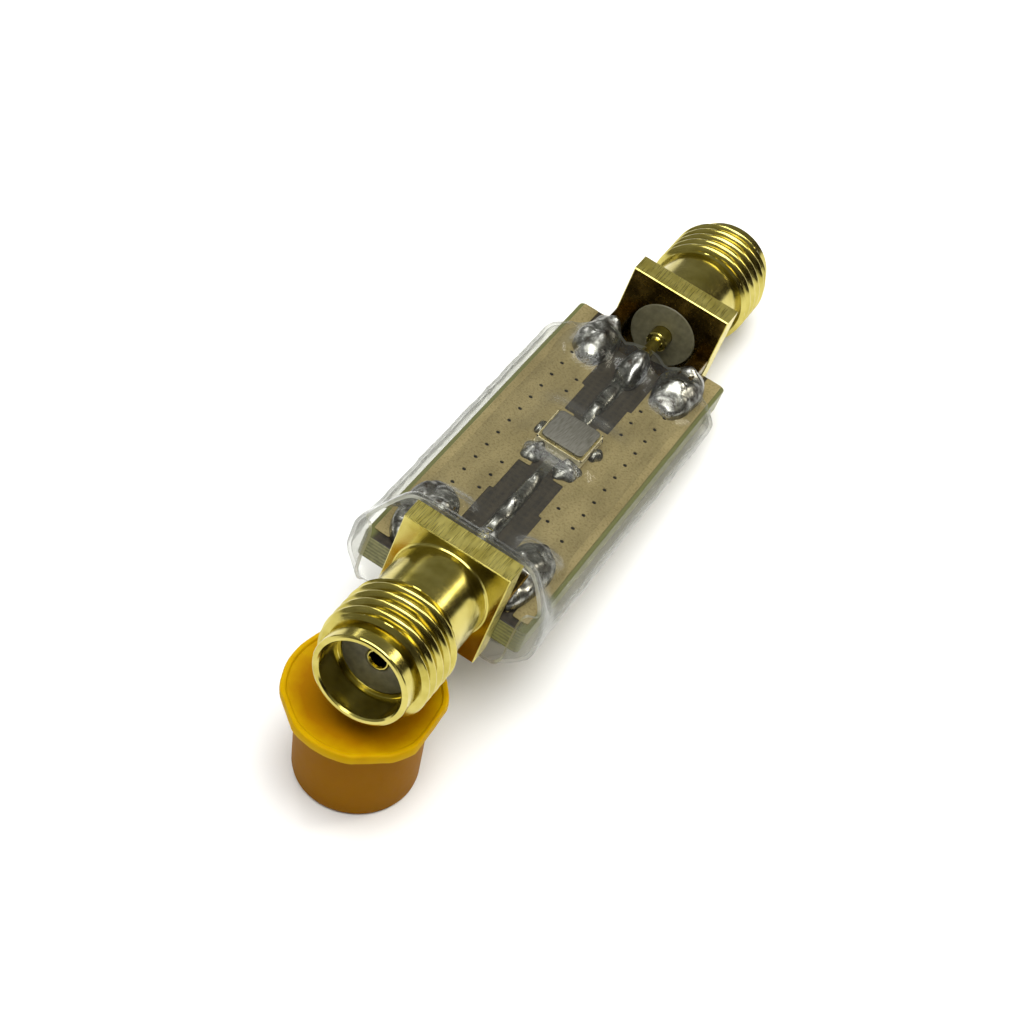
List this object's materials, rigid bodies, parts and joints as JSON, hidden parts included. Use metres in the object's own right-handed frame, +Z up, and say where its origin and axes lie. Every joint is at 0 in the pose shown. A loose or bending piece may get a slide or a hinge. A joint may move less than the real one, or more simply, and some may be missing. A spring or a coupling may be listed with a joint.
{
  "type": "inline coaxial band-pass filter module with dust cap",
  "caption": "Bare filter board between two screw-on coaxial jacks in a clear heat-shrunk sleeve, resting on its loose yellow dust cap.",
  "frame": {"origin": "middle of the whole part's bounding box, on the surface it stands on", "axes": "+Z up; +Y runs from the near jack, over the cap, to the far jack along the surface; +X to the right seen from the near jack"},
  "size_m": [0.0114, 0.0476, 0.0131],
  "materials": {
    "gold": "thin bright gold plate on turned brass",
    "ptfe": "turned off-white fluoropolymer",
    "fr4": "bare glass-epoxy laminate, dark olive brown",
    "enig_copper": "immersion gold over etched copper foil, satin",
    "tinned_copper": "copper foil tinned with solder",
    "ceramic": "fired alumina tray, matte cream",
    "gold_ring": "gold-plated seal ring",
    "lid_metal": "plated lid, fine grain",
    "die_crystal": "polished crystal with metal fingers",
    "solder": "reflowed bright solder",
    "clear_sleeve": "clear heat-shrunk polyolefin",
    "yellow_plastic": "moulded translucent polyethylene, satin"
  },
  "bodies": {
    "filter_module": {"near_jack_body": "gold", "far_jack_body": "gold", "near_jack_contact": "gold", "far_jack_contact": "gold", "near_jack_insulator": "ptfe", "far_jack_insulator": "ptfe", "board_core": "fr4", "ground_copper": "enig_copper", "near_trace": "tinned_copper", "far_trace": "tinned_copper", "filter_package": "ceramic", "filter_seal_ring": "gold_ring", "filter_lid": "lid_metal", "filter_die": "die_crystal", "near_pin_joint": "solder", "far_pin_joint": "solder", "near_left_leg_joint_top": "solder", "near_left_leg_joint_bottom": "solder", "near_right_leg_joint_top": "solder", "near_right_leg_joint_bottom": "solder", "far_left_leg_joint_top": "solder", "far_left_leg_joint_bottom": "solder", "far_right_leg_joint_top": "solder", "far_right_leg_joint_bottom": "solder", "filter_joint_input": "solder", "filter_joint_output": "solder", "filter_joint_near_left": "solder", "filter_joint_near_right": "solder", "filter_joint_mid_left": "solder", "filter_joint_mid_right": "solder", "filter_joint_far_left": "solder", "filter_joint_far_right": "solder", "heat_shrink_sleeve": "clear_sleeve"},
    "dust_cap": {"dust_cap": "yellow_plastic"}
  },
  "joints": [
    {"name": "cap_slide", "type": "slide", "parent": "filter_module", "child": "dust_cap", "axis": [0, -1, 0], "range_m": [0, 0.012]}
  ]
}
